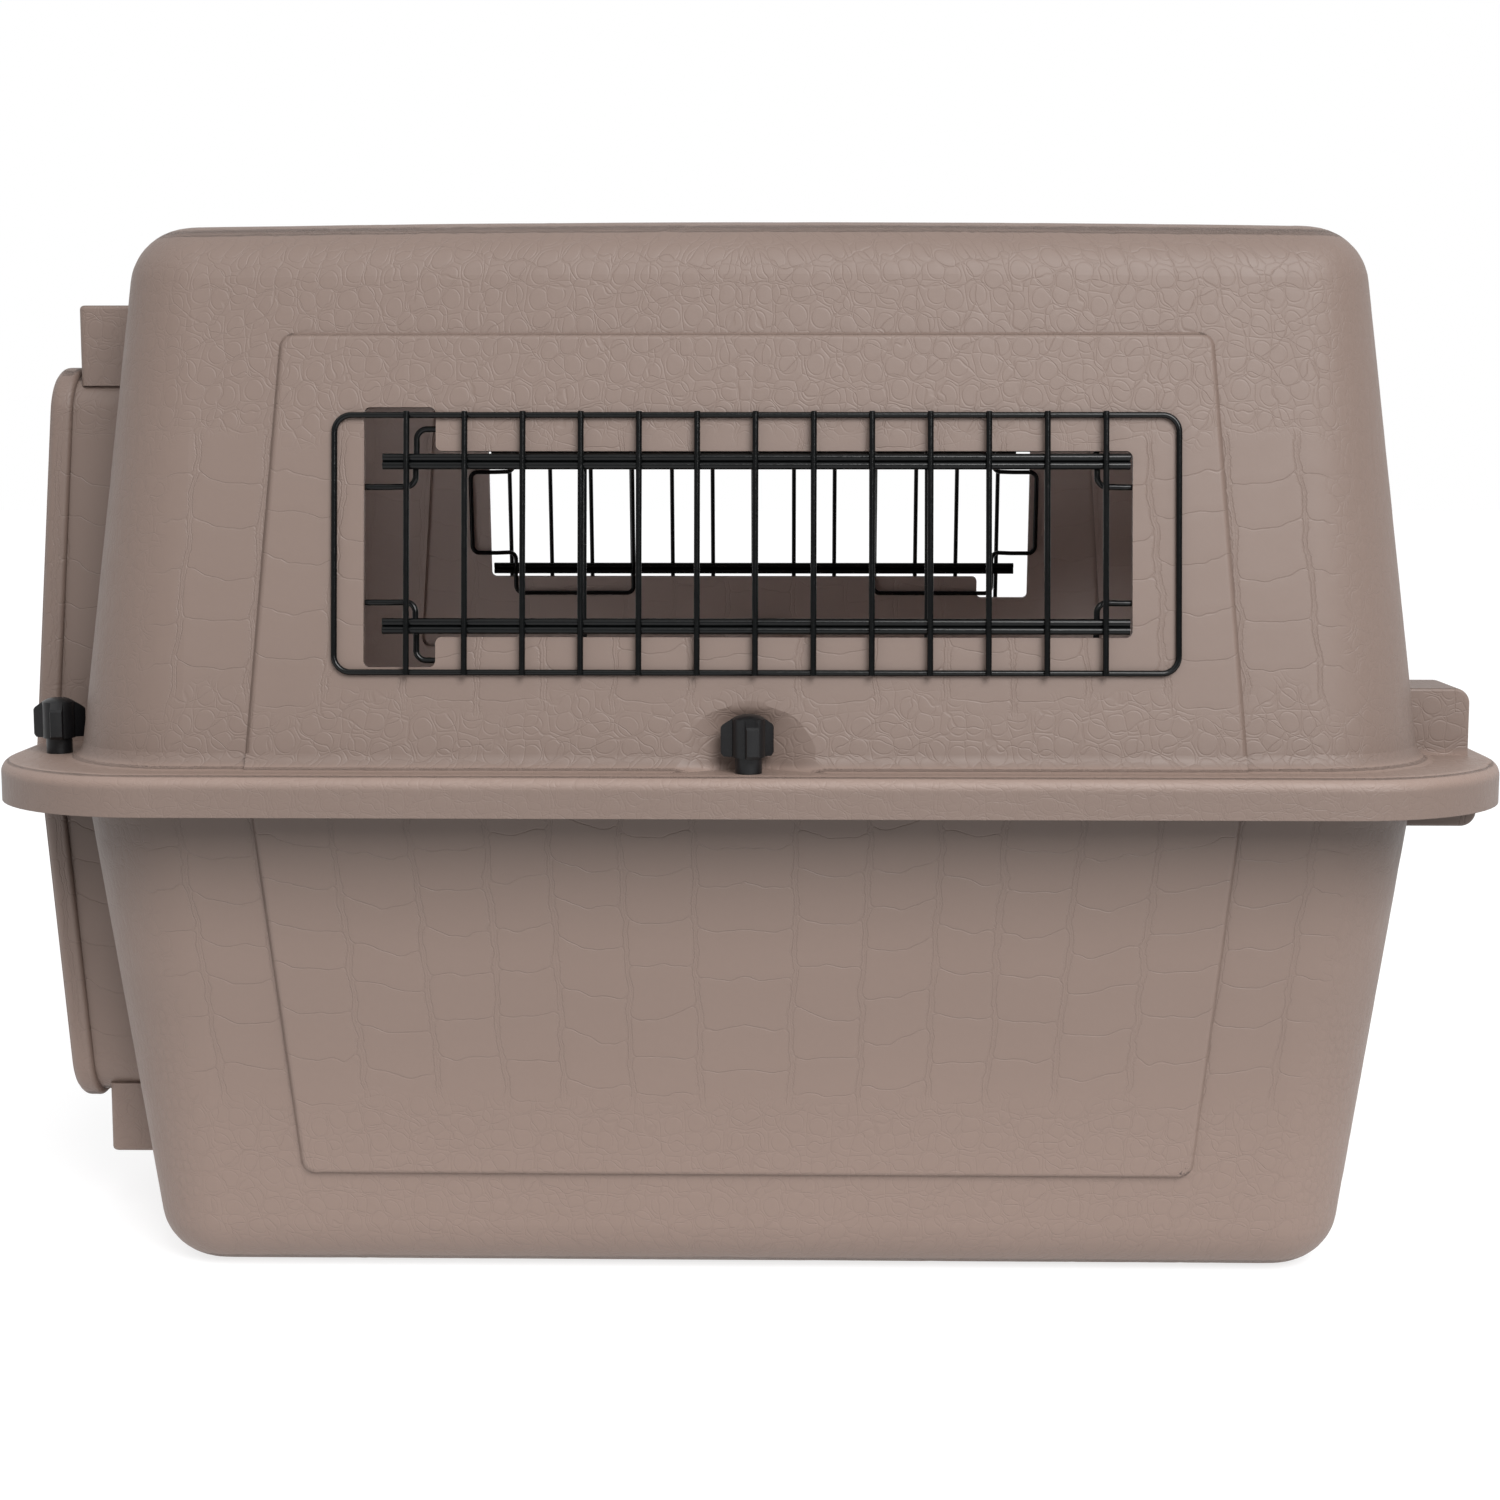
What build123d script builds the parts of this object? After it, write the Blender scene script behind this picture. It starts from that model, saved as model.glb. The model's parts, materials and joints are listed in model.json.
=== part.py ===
from build123d import *
from math import atan, cos, pi, sin, sqrt, tan
import os

os.makedirs("parts", exist_ok=True)

# Pet transport carrier: two moulded half shells bolted together at a rim, a wire door at the
# front (-X), wire vent grilles in the sides (+-Y) and the rear (+X). Millimetres, +Z up,
# origin on the floor under the middle of the carrier.

# ---------------------------------------------------------------- driving dimensions
HEIGHT = 491.0            # floor to the top of the roof crown
RIM_LENGTH = 701.0        # over the rim, X
RIM_WIDTH = 551.0         # over the rim, Y
RIM_CORNER = 81.5         # plan corner radius of the rim
SPLIT_Z = 242.0           # plane where the two halves meet
LEDGE_Z = 245.0           # upper face of the rim's ledge
SKIRT_Z = 226.0           # lower edge of the rim's skirt
FLANGE = 3.0              # thickness of the lower half's flange
WALL = 3.0                # moulded wall
UPPER_DRAFT = 0.1267      # inward lean of the upper walls, per unit of height
LOWER_DRAFT = 0.137       # inward lean of the lower walls, per unit of depth
FOOT_HL = 313.5           # half length of the body at the split plane
UPPER_HW = 255.0          # half width of the upper body at the split plane
LOWER_HW = 253.0          # half width of the lower body at the split plane
BODY_CORNER = 60.0        # plan corner radius of the body at the split plane
CORNER_TAPER = 0.85       # how much of the walls' lean the corner radius follows
ROOF_R = 28.5             # radius of the roof's edge
BASE_R = 27.7             # radius of the base's edge
CROWN = 2.5               # rise of the roof from its ends to its middle

PANEL_PROUD = 3.0         # raised panels in the walls
PANEL_EDGE = 32.0         # lean of a panel's edge, degrees
COVE_R = 8.5              # concave foot of the upper walls on the ledge
RIM_EDGE = 6.0            # rounding of the ledge's outer edge

VENT_HX = 172.0           # half length of a side vent
VENT_MID = 1.0            # its middle, along the wall
VENT_Z0, VENT_Z1 = 304.1, 386.8
NOTCH_W = 32.3            # insertion notch at one end of a side vent
NOTCH_Z0, NOTCH_Z1 = 290.6, 406.3
REAR_VENT_HY = 106.0      # half length of the rear vent

WIRE_R = 1.35             # coated grille wire
RAIL_R = 1.8              # coated rail rod, two to a rail
WELD = 0.3                # how far welded wires sink into each other
WIRE_PITCH = 26.0
FRAME_W = 57.6            # half height of a grille's frame, centre to centre
RAIL_W = 36.85            # rail centre from the vent's middle
GRILLE_MID = 4.7          # middle of a side grille, along the wall

COLLAR_HW = 150.0         # door surround, half width
COLLAR_Z0, COLLAR_Z1 = 66.0, 424.0
COLLAR_X_END = -335.8     # front of the surround at its top and bottom
COLLAR_X_MID = -350.3     # front of the surround at the rim
OPEN_HW = 141.0           # clear doorway, half width
OPEN_Z0, OPEN_Z1 = 73.0, 417.0
DOOR_Z = 245.0            # middle of the doorway
UPPER_BOSS_X, UPPER_BOSS_Z = -323.6, 456.4   # front and top of the blocks over the doorway
LOWER_BOSS_X, LOWER_BOSS_Z = -320.4, 37.2    # front and bottom of the blocks under it
UPPER_LUG_X, UPPER_LUG_Z = 338.7, 276.6      # rear and top of the rear lugs
LOWER_LUG_X, LOWER_LUG_Z = 343.5, 211.3      # rear and bottom of the lugs under them

PIN_X = -313.0            # plane of the door's hinge rod and latch rods
PIN_Y = 131.0             # hinge at +Y, latch at -Y
PIN_R = 2.5
RUN = 0.08                # radial running clearance of the rods in their bores
TRAVEL = 16.0             # latch rod travel

BOLT_R = 3.0
BOLTS = [(-325.7, -195.5), (2.0, -263.0), (331.0, -120.0),
         (-325.7, 195.5), (2.0, 263.0), (331.0, 120.0)]
NUT_NAMES = ["wing_nut_front_left", "wing_nut_middle_left", "wing_nut_rear_left",
             "wing_nut_front_right", "wing_nut_middle_right", "wing_nut_rear_right"]
NUT_TURN = [40.0, 40.0, 50.0, -35.0, 80.0, 10.0]   # where each nut came to rest, degrees

COS_UP, SIN_UP = cos(atan(UPPER_DRAFT)), sin(atan(UPPER_DRAFT))
COS_LOW, SIN_LOW = cos(atan(LOWER_DRAFT)), sin(atan(LOWER_DRAFT))


def inset(z, upper):
    """How far the body's walls have leaned in at height z."""
    return UPPER_DRAFT * (z - SPLIT_Z) if upper else LOWER_DRAFT * (SPLIT_Z - z)


def export(piece, label):
    piece.label = label
    export_step(piece, f"parts/{label}.step")


# ---------------------------------------------------------------- body forms, outside and inside
def body_form(half_length, half_width, corner, z_from, z_to, edge_z, edge_r, crown, upper):
    """A drafted, round-cornered block between z_from and the closed end, with a rounded end edge."""
    with BuildPart() as form:
        for z in (z_from, z_to):
            d = inset(z, upper)
            with BuildSketch(Plane.XY.offset(z)):
                RectangleRounded(2 * (half_length - d), 2 * (half_width - d), corner - CORNER_TAPER * d)
        loft(ruled=True)
        if upper:
            with BuildSketch(Plane.XZ):
                with BuildLine():
                    ThreePointArc((-330, edge_z - crown * 1.35), (0, edge_z), (330, edge_z - crown * 1.35))
                    Polyline((330, edge_z - crown * 1.35), (330, z_from - 5), (-330, z_from - 5), (-330, edge_z - crown * 1.35))
                make_face()
            extrude(amount=300, both=True, mode=Mode.INTERSECT)
            fillet(form.faces().sort_by(Axis.Z)[-1].edges(), edge_r)
        else:
            fillet(form.faces().sort_by(Axis.Z)[0].edges(), edge_r)
    return form.part


upper_outer = body_form(FOOT_HL, UPPER_HW, BODY_CORNER, SPLIT_Z, HEIGHT + 15, HEIGHT, ROOF_R, CROWN, True)
upper_inner = body_form(FOOT_HL - WALL, UPPER_HW - WALL, BODY_CORNER - WALL, SPLIT_Z - 1, HEIGHT + 15,
                        HEIGHT - WALL, ROOF_R - WALL, CROWN, True)
lower_outer = body_form(FOOT_HL, LOWER_HW, BODY_CORNER, SPLIT_Z, 0, 0, BASE_R, 0, False)
lower_inner = body_form(FOOT_HL - WALL, LOWER_HW - WALL, BODY_CORNER - WALL, SPLIT_Z + 1, WALL,
                        WALL, BASE_R - WALL, 0, False)

# planes lying on the outside of the walls at the split plane: local X runs along the wall,
# local Y up the wall, local Z outwards
LEFT_UP = Plane(origin=(0, -UPPER_HW, SPLIT_Z), x_dir=(1, 0, 0), z_dir=(0, -COS_UP, SIN_UP))
RIGHT_UP = Plane(origin=(0, UPPER_HW, SPLIT_Z), x_dir=(-1, 0, 0), z_dir=(0, COS_UP, SIN_UP))
REAR_UP = Plane(origin=(FOOT_HL, 0, SPLIT_Z), x_dir=(0, 1, 0), z_dir=(COS_UP, 0, SIN_UP))
LEFT_LOW = Plane(origin=(0, -LOWER_HW, SPLIT_Z), x_dir=(1, 0, 0), z_dir=(0, -COS_LOW, -SIN_LOW))
RIGHT_LOW = Plane(origin=(0, LOWER_HW, SPLIT_Z), x_dir=(-1, 0, 0), z_dir=(0, COS_LOW, -SIN_LOW))
REAR_LOW = Plane(origin=(FOOT_HL, 0, SPLIT_Z), x_dir=(0, 1, 0), z_dir=(COS_LOW, 0, -SIN_LOW))


def up(z):
    """Distance up a wall from the split plane to height z."""
    return (z - SPLIT_Z) / (COS_UP if z > SPLIT_Z else COS_LOW)


def panel_form(plane, hw_low, z_low, hw_high, z_high, corner, low, high, lean):
    """A trapezoid pad on a wall plane, from depth low to height high, its edges leaning in."""
    with BuildPart() as pad:
        with BuildSketch(plane.offset(low)):
            with BuildLine():
                Polyline((-hw_low, up(z_low)), (hw_low, up(z_low)), (hw_high, up(z_high)), (-hw_high, up(z_high)), close=True)
            make_face()
            fillet(vertices(), corner)
        extrude(amount=high - low, taper=lean)
        if lean:
            top = pad.faces().sort_by(lambda f: (plane.to_local_coords(f.center())).Z)[-1]
            fillet(top.edges(), 2.6)
    return pad.part


# ---------------------------------------------------------------- door surround
def surround(upper):
    """Collar around the doorway with a rounded bead at its front, one half of it."""
    z_end = COLLAR_Z1 + 12 if upper else COLLAR_Z0 - 12
    with BuildPart() as collar:
        with BuildSketch(Plane.YZ.offset(-262)):
            with Locations((0, (COLLAR_Z0 + COLLAR_Z1) / 2)):
                RectangleRounded(2 * COLLAR_HW, COLLAR_Z1 - COLLAR_Z0, 18)
        extrude(amount=-100)
        with BuildSketch(Plane.XZ):
            with BuildLine():
                Polyline((COLLAR_X_MID, SPLIT_Z), (COLLAR_X_END, z_end), (-255, z_end), (-255, SPLIT_Z), close=True)
            make_face()
        extrude(amount=200, both=True, mode=Mode.INTERSECT)
    with BuildPart() as bead:
        with BuildSketch(Plane.YZ.offset(-262)):
            with Locations((0, (COLLAR_Z0 + COLLAR_Z1) / 2)):
                RectangleRounded(2 * COLLAR_HW + 6, COLLAR_Z1 - COLLAR_Z0 + 6, 21)
        extrude(amount=-100)
        with BuildSketch(Plane.XZ):
            with BuildLine():
                Polyline((COLLAR_X_MID, SPLIT_Z), (COLLAR_X_END, z_end), (COLLAR_X_END + 11, z_end),
                         (COLLAR_X_MID + 11, SPLIT_Z), close=True)
            make_face()
        extrude(amount=200, both=True, mode=Mode.INTERSECT)
        rims = [f for f in bead.faces().filter_by(GeomType.PLANE) if abs(f.normal_at().X) > 0.9]
        front, back = sorted(rims, key=lambda f: f.center().X)
        fillet([e for e in front.edges() if abs(e.center().Z - SPLIT_Z) > 1], 4.8)
        back = sorted([f for f in bead.faces().filter_by(GeomType.PLANE) if f.normal_at().X > 0.9],
                      key=lambda f: f.center().X)[-1]
        fillet([e for e in back.edges() if abs(e.center().Z - SPLIT_Z) > 1], 2.4)
    with BuildPart() as both:
        add(collar.part)
        add(bead.part)
    return both.part


def pin_bosses(upper):
    """Two blocks above or below the doorway that take the hinge rod and the latch rods."""
    z0, z1, front = (COLLAR_Z1 - 6, UPPER_BOSS_Z, UPPER_BOSS_X) if upper else (LOWER_BOSS_Z, COLLAR_Z0 + 6, LOWER_BOSS_X)
    with BuildPart() as blocks:
        with BuildSketch(Plane.XY.offset(z0)):
            with Locations((front / 2 - 262 / 2, 128), (front / 2 - 262 / 2, -128)):
                Rectangle(-262 - front, 40)
            fillet(vertices().group_by(Axis.X)[0], 3.5)
        extrude(amount=z1 - z0)
        end = blocks.faces().group_by(Axis.Z)[-1 if upper else 0]
        fillet([e for f in end for e in f.edges() if e.center().X < -270], 2.0)
    return blocks.part


def rear_lugs(z0, z1, rear, round_top):
    """Two square lugs that stand out of the rear wall beside the corners."""
    with BuildPart() as lugs:
        for y in (-150.0, 194.0):
            with BuildSketch(Plane.XZ.offset(-y)):
                with BuildLine():
                    Polyline((290, z0), (rear, z0), (rear, z1), (290, z1), close=True)
                make_face()
                fillet(vertices().group_by(Axis.X)[-1].sort_by(Axis.Z)[-1 if round_top else 0], 7.2)
            extrude(amount=44)
        low, high = (z0 + 1, z1 + 1) if round_top else (z0 - 1, z1 - 1)
        fillet([e for e in lugs.edges() if e.center().X > 300 and low < e.center().Z < high
                and min(abs(abs(e.center().Y) - 150), abs(abs(e.center().Y) - 194)) < 0.01], 1.4)
    return lugs.part


def panel_foot(face, half, plane, back):
    """Concave run-out of a panel's face onto the ledge, face being where the two would meet."""
    lean = atan(UPPER_DRAFT)
    run = COVE_R * tan((pi / 2 - lean) / 2)
    mid = COVE_R / sqrt(run ** 2 + COVE_R ** 2)
    with BuildPart() as foot:
        with BuildSketch(plane.offset(-half)):
            with BuildLine():
                ThreePointArc((face + back * run, LEDGE_Z),
                              (face + back * run * (1 - mid), LEDGE_Z + COVE_R * (1 - mid)),
                              (face - back * run * sin(lean), LEDGE_Z + run * cos(lean)))
                Polyline((face - back * run * sin(lean), LEDGE_Z + run * cos(lean)),
                         (face - back * 4, LEDGE_Z + run * cos(lean)), (face - back * 4, LEDGE_Z - 1),
                         (face + back * run, LEDGE_Z - 1), (face + back * run, LEDGE_Z))
            make_face()
        extrude(amount=2 * half)
    return foot.part


with BuildPart() as doorway:
    with BuildSketch(Plane.YZ.offset(-255)):
        with Locations((0, (OPEN_Z0 + OPEN_Z1) / 2)):
            RectangleRounded(2 * OPEN_HW, OPEN_Z1 - OPEN_Z0, 12)
    extrude(amount=-120)
    with BuildSketch(Plane.YZ.offset(-255)):
        with Locations((0, (OPEN_Z0 + OPEN_Z1) / 2)):
            RectangleRounded(2 * OPEN_HW + 8, OPEN_Z1 - OPEN_Z0 + 8, 15)
    extrude(amount=-64.5)

# ---------------------------------------------------------------- upper half shell
# soft scoops that make room for the middle wing nuts: height, depth of the scoop's floor,
# depth of its lips and half width, the lips just outside the wall
SCOOP = [(LEDGE_Z, 249.8, 267.0, 48.0), (247.0, 249.8, 261.1, 43.0), (249.0, 249.8, 259.1, 40.0),
         (252.0, 249.8, 257.7, 38.0), (257.0, 249.8, 256.7, 36.0), (262.0, 249.8, 256.1, 33.0),
         (266.0, 250.0, 255.6, 30.0), (270.0, 252.0, 255.1, 27.0), (274.0, 253.7, 254.7, 24.0),
         (277.5, 254.8, 255.0, 22.0)]
BELL = [i / 5 - 1 for i in range(11)]
with BuildPart() as scoops:
    for z, floor, lip, half in SCOOP:
        with BuildSketch(Plane(origin=(BOLTS[1][0], 0, z))):
            with BuildLine():
                Spline(*[(half * t, -lip + (lip - floor) * 0.5 * (1 + cos(pi * t))) for t in BELL])
                Polyline((half, -lip), (half, -300), (-half, -300), (-half, -lip))
            make_face()
    loft()
    mirror(about=Plane.XZ)
with BuildPart() as scoop_skins:
    with Locations((BOLTS[1][0], -290.6, SPLIT_Z - 6), (BOLTS[1][0], 290.6, SPLIT_Z - 6)):
        Cylinder(46, 41, align=(Align.CENTER, Align.CENTER, Align.MIN))
    fillet(scoop_skins.faces().group_by(Axis.Z)[-1].edges(), 6)

with BuildPart() as top_cavity:
    add(upper_inner)
    for side in (LEFT_UP, RIGHT_UP):
        add(panel_form(side, 219.5, 259.0, 204.5, 433.5, 5, -WALL - 0.02, -0.02, 0))
    add(panel_form(REAR_UP, 132.0, 259.0, 123.0, 433.5, 5, -WALL - 0.02, -0.02, 0))
    add(scoop_skins.part, mode=Mode.SUBTRACT)

with BuildPart() as top_shell:
    add(upper_outer)
    with BuildSketch(Plane.XY.offset(SKIRT_Z)):
        RectangleRounded(RIM_LENGTH, RIM_WIDTH, RIM_CORNER)
    extrude(amount=LEDGE_Z - SKIRT_Z)
    ledge_edges = [e for e in top_shell.edges() if abs(e.center().Z - LEDGE_Z) < 0.01]
    rim_edges = [e for e in ledge_edges if abs(e.center().X) > 330 or abs(e.center().Y) > 262
                 or abs(e.center().X) + abs(e.center().Y) > 555]
    fillet([e for e in ledge_edges if e not in rim_edges], COVE_R)
    rim_edges = [e for e in top_shell.edges() if abs(e.center().Z - LEDGE_Z) < 0.01
                 and (abs(e.center().X) > 335 or abs(e.center().Y) > 270
                      or abs(e.center().X) + abs(e.center().Y) > 570)]
    fillet(rim_edges, RIM_EDGE)
    for side in (LEFT_UP, RIGHT_UP):
        add(panel_form(side, 226.0, LEDGE_Z - 1, 210.0, 440.5, 8, -1.0, PANEL_PROUD, PANEL_EDGE))
    add(panel_form(REAR_UP, 138.0, LEDGE_Z - 1, 128.0, 440.5, 8, -1.0, PANEL_PROUD, PANEL_EDGE))
    side_face = UPPER_HW + PANEL_PROUD / COS_UP - UPPER_DRAFT * (LEDGE_Z - SPLIT_Z)
    rear_face = FOOT_HL + PANEL_PROUD / COS_UP - UPPER_DRAFT * (LEDGE_Z - SPLIT_Z)
    add(panel_foot(-side_face, 223.9, Plane.YZ, -1))
    add(panel_foot(side_face, 223.9, Plane.YZ, 1))
    add(panel_foot(rear_face, 135.9, Plane.XZ, 1))
    add(surround(True))
    add(pin_bosses(True))
    add(rear_lugs(SPLIT_Z, UPPER_LUG_Z, UPPER_LUG_X, True))
    add(scoops.part, mode=Mode.SUBTRACT)
    # spot faces under the nuts
    with BuildSketch(Plane.XY.offset(LEDGE_Z)):
        with Locations(*BOLTS):
            Circle(7.0)
    extrude(amount=6, mode=Mode.SUBTRACT)
    # hollow of the rim
    with BuildSketch(Plane.XY.offset(SKIRT_Z)):
        RectangleRounded(RIM_LENGTH - 2 * WALL, RIM_WIDTH - 2 * WALL, RIM_CORNER - WALL)
    extrude(amount=SPLIT_Z - SKIRT_Z, mode=Mode.SUBTRACT)
    add(top_cavity.part, mode=Mode.SUBTRACT)
    # the skirt stops either side of the lower half's door surround
    with BuildSketch(Plane.XY.offset(SKIRT_Z - 1)):
        with Locations((-RIM_LENGTH / 2 + 1, 0)):
            Rectangle(14, 2 * COLLAR_HW + 7.2)
    extrude(amount=SPLIT_Z - SKIRT_Z + 1, mode=Mode.SUBTRACT)
    # hollow of the lugs, open to the inside
    with BuildSketch(Plane.XY.offset(SPLIT_Z - 1)):
        with Locations((UPPER_LUG_X - 29, 172), (UPPER_LUG_X - 29, -172)):
            Rectangle(52, 38)
    extrude(amount=UPPER_LUG_Z - 3 - SPLIT_Z + 1, mode=Mode.SUBTRACT)
    add(doorway.part, mode=Mode.SUBTRACT)
    # side vents with their notch, the far one turned half round
    for plane in (LEFT_UP, RIGHT_UP):
        with BuildSketch(plane.offset(-20)):
            with Locations((VENT_MID, (up(VENT_Z0) + up(VENT_Z1)) / 2)):
                Rectangle(2 * VENT_HX, up(VENT_Z1) - up(VENT_Z0))
            with Locations((VENT_MID - VENT_HX + NOTCH_W / 2, (up(NOTCH_Z0) + up(NOTCH_Z1)) / 2)):
                Rectangle(NOTCH_W, up(NOTCH_Z1) - up(NOTCH_Z0))
            fillet(vertices(), 3)
        extrude(amount=40, mode=Mode.SUBTRACT)
    with BuildSketch(REAR_UP.offset(-20)):
        with Locations((0, (up(VENT_Z0) + up(VENT_Z1)) / 2)):
            Rectangle(2 * REAR_VENT_HY, up(VENT_Z1) - up(VENT_Z0))
        fillet(vertices(), 3)
    extrude(amount=40, mode=Mode.SUBTRACT)
    # bores for the door's hinge rod and the upper latch rod
    with BuildSketch(Plane.XY.offset(DOOR_Z + 165)):
        with Locations((PIN_X, PIN_Y), (PIN_X, -PIN_Y)):
            Circle(PIN_R + RUN)
    extrude(amount=37, mode=Mode.SUBTRACT)
    # clearance holes for the flange bolts
    with BuildSketch(Plane.XY.offset(SPLIT_Z - 2)):
        with Locations(*BOLTS):
            Circle(BOLT_R + 0.5)
    extrude(amount=6, mode=Mode.SUBTRACT)
export(top_shell.part, "top_shell")

# ---------------------------------------------------------------- lower half shell
with BuildPart() as bottom_cavity:
    add(lower_inner)
    for side in (LEFT_LOW, RIGHT_LOW):
        add(panel_form(side, 203.5, 56.0, 218.5, 222.0, 5, -WALL - 0.02, -0.02, 0))
    add(panel_form(REAR_LOW, 124.0, 56.0, 131.5, 222.0, 5, -WALL - 0.02, -0.02, 0))

with BuildPart() as bottom_shell:
    add(lower_outer)
    for side in (LEFT_LOW, RIGHT_LOW):
        add(panel_form(side, 209.0, 49.2, 225.0, 233.0, 8, -1.0, PANEL_PROUD, PANEL_EDGE))
    add(panel_form(REAR_LOW, 129.0, 49.2, 137.0, 233.0, 8, -1.0, PANEL_PROUD, PANEL_EDGE))
    with BuildSketch(Plane.XY.offset(SPLIT_Z - FLANGE)):
        RectangleRounded(RIM_LENGTH - 8, RIM_WIDTH - 8, RIM_CORNER - 4)
    extrude(amount=FLANGE)
    add(surround(False))
    add(pin_bosses(False))
    add(rear_lugs(LOWER_LUG_Z, SPLIT_Z - 1, LOWER_LUG_X, False))
    add(bottom_cavity.part, mode=Mode.SUBTRACT)
    with BuildSketch(Plane.XY.offset(LOWER_LUG_Z + 3)):
        with Locations((LOWER_LUG_X - 29, 172), (LOWER_LUG_X - 29, -172)):
            Rectangle(52, 38)
    extrude(amount=SPLIT_Z + 1 - LOWER_LUG_Z - 3, mode=Mode.SUBTRACT)
    add(doorway.part, mode=Mode.SUBTRACT)
    # raised ribs on the floor, with a moat around them
    with BuildSketch(Plane.XY.offset(WALL - 1)):
        with GridLocations(0, 52, 1, 7):
            SlotOverall(470, 16)
    extrude(amount=4.5)
    with BuildSketch(Plane.XY.offset(DOOR_Z - 209.5)):
        with Locations((PIN_X, PIN_Y), (PIN_X, -PIN_Y)):
            Circle(PIN_R + RUN)
    extrude(amount=45, mode=Mode.SUBTRACT)
    with BuildSketch(Plane.XY.offset(SPLIT_Z - 5)):
        with Locations(*BOLTS):
            Circle(BOLT_R + 0.3)
    extrude(amount=6, mode=Mode.SUBTRACT)
    # the bores are blind: their lower ends are filled again
    with BuildSketch(Plane.XY.offset(LOWER_BOSS_Z)):
        with Locations((PIN_X, PIN_Y), (PIN_X, -PIN_Y)):
            Circle(PIN_R + RUN)
    extrude(amount=DOOR_Z - 199.5 - LOWER_BOSS_Z)
export(bottom_shell.part, "bottom_shell")

# ---------------------------------------------------------------- vent grilles
N_FRAME = WIRE_R + 0.1                         # frame wire lies on the panel's face
N_WIRE = N_FRAME + 2 * WIRE_R - WELD           # upright wires outermost
N_RAIL = N_WIRE - WIRE_R - RAIL_R + WELD       # rails inside the opening
N_CLIP = N_RAIL - RAIL_R - WIRE_R + WELD       # clip wire behind the rails
N_BACK = -WALL - WIRE_R - 0.3                  # clip wire behind the wall


def clip_path(s, inner, outer, tab):
    """Closed run of the clip wire at one end of a grille, open by a hair at its butt joint."""
    pts = [(s * inner, 0.0, N_CLIP), (s * inner, 35.5, N_CLIP), (s * inner, 40.0, N_BACK), (s * inner, 52.0, N_BACK),
           (s * outer, 52.0, N_BACK), (s * outer, 40.0, N_BACK), (s * outer, 35.5, N_CLIP), (s * outer, 26.0, N_CLIP),
           (s * (outer + 12), 26.0, N_BACK), (s * tab, 26.0, N_BACK), (s * tab, -26.0, N_BACK), (s * (outer + 12), -26.0, N_BACK),
           (s * outer, -26.0, N_CLIP), (s * outer, -35.5, N_CLIP),
           (s * outer, -40.0, N_BACK), (s * outer, -52.0, N_BACK), (s * inner, -52.0, N_BACK), (s * inner, -40.0, N_BACK),
           (s * inner, -35.5, N_CLIP), (s * inner, -0.1, N_CLIP)]
    radii = [2.2, 2.2, 4.5, 4.5, 2.2, 2.2, 4.5, 2.2, 4.5, 4.5, 2.2, 4.5, 2.2, 2.2, 4.5, 4.5, 2.2, 2.2]
    return pts, radii


def grille(count, frame_hu, rail_hu, inner, outer, tab):
    """Welded wire grille in its own frame: X along the wall, Y up the wall, Z outwards."""
    with BuildPart() as g:
        with Locations(*[(WIRE_PITCH * (i - (count - 1) / 2), 0, N_WIRE) for i in range(count)]):
            Cylinder(WIRE_R, 2 * (FRAME_W + WIRE_R), rotation=(90, 0, 0))
        with Locations(*[(0, s * (RAIL_W + t * (RAIL_R - 0.05)), N_RAIL) for s in (-1, 1) for t in (-1, 1)]):
            Cylinder(RAIL_R, 2 * rail_hu, rotation=(0, 90, 0))
        with BuildLine(Plane.XY.offset(N_FRAME)) as frame_line:
            FilletPolyline((0, -FRAME_W), (frame_hu, -FRAME_W), (frame_hu, FRAME_W), (-frame_hu, FRAME_W),
                           (-frame_hu, -FRAME_W), (-0.1, -FRAME_W), radius=7.5)
        with BuildSketch(Plane(origin=(0, -FRAME_W, N_FRAME), z_dir=(1, 0, 0))):
            Circle(WIRE_R)
        sweep(path=frame_line.line)
        for s in (-1, 1):
            pts, radii = clip_path(s, inner, outer, tab)
            with BuildLine() as clip_line:
                FilletPolyline(*pts, radius=radii)
            with BuildSketch(Plane(origin=pts[0], z_dir=(0, 1, 0))):
                Circle(WIRE_R)
            sweep(path=clip_line.line)
    return g.part


VENT_UP = (up(VENT_Z0) + up(VENT_Z1)) / 2
side_grille = grille(13, 188.7, 167.0, 77.0, 152.6, 180.0)
rear_grille = grille(9, 120.0, 102.0, 51.0, 88.0, 115.0)

for plane, part, mid, label in ((LEFT_UP, side_grille, GRILLE_MID, "left_vent_grille"),
                                (RIGHT_UP, side_grille, GRILLE_MID, "right_vent_grille"),
                                (REAR_UP, rear_grille, 0, "rear_vent_grille")):
    at = Plane(origin=plane.from_local_coords((mid, VENT_UP, PANEL_PROUD)), x_dir=plane.x_dir, z_dir=plane.z_dir)
    with BuildPart() as placed:
        add(part.moved(at.location))
    export(placed.part, label)

# ---------------------------------------------------------------- rim bolts and wing nuts
with BuildPart() as flange_bolts:
    with BuildSketch(Plane.XY.offset(SPLIT_Z - FLANGE - 4)):
        with Locations(*BOLTS):
            RegularPolygon(5.0, 6, major_radius=False)
    extrude(amount=4)
    with BuildSketch(Plane.XY.offset(SPLIT_Z - FLANGE - 4)):
        with Locations(*BOLTS):
            Circle(BOLT_R)
    extrude(amount=4 + 22)
    chamfer(flange_bolts.faces().group_by(Axis.Z)[-1].edges(), 0.6)
export(flange_bolts.part, "flange_bolts")

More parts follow.
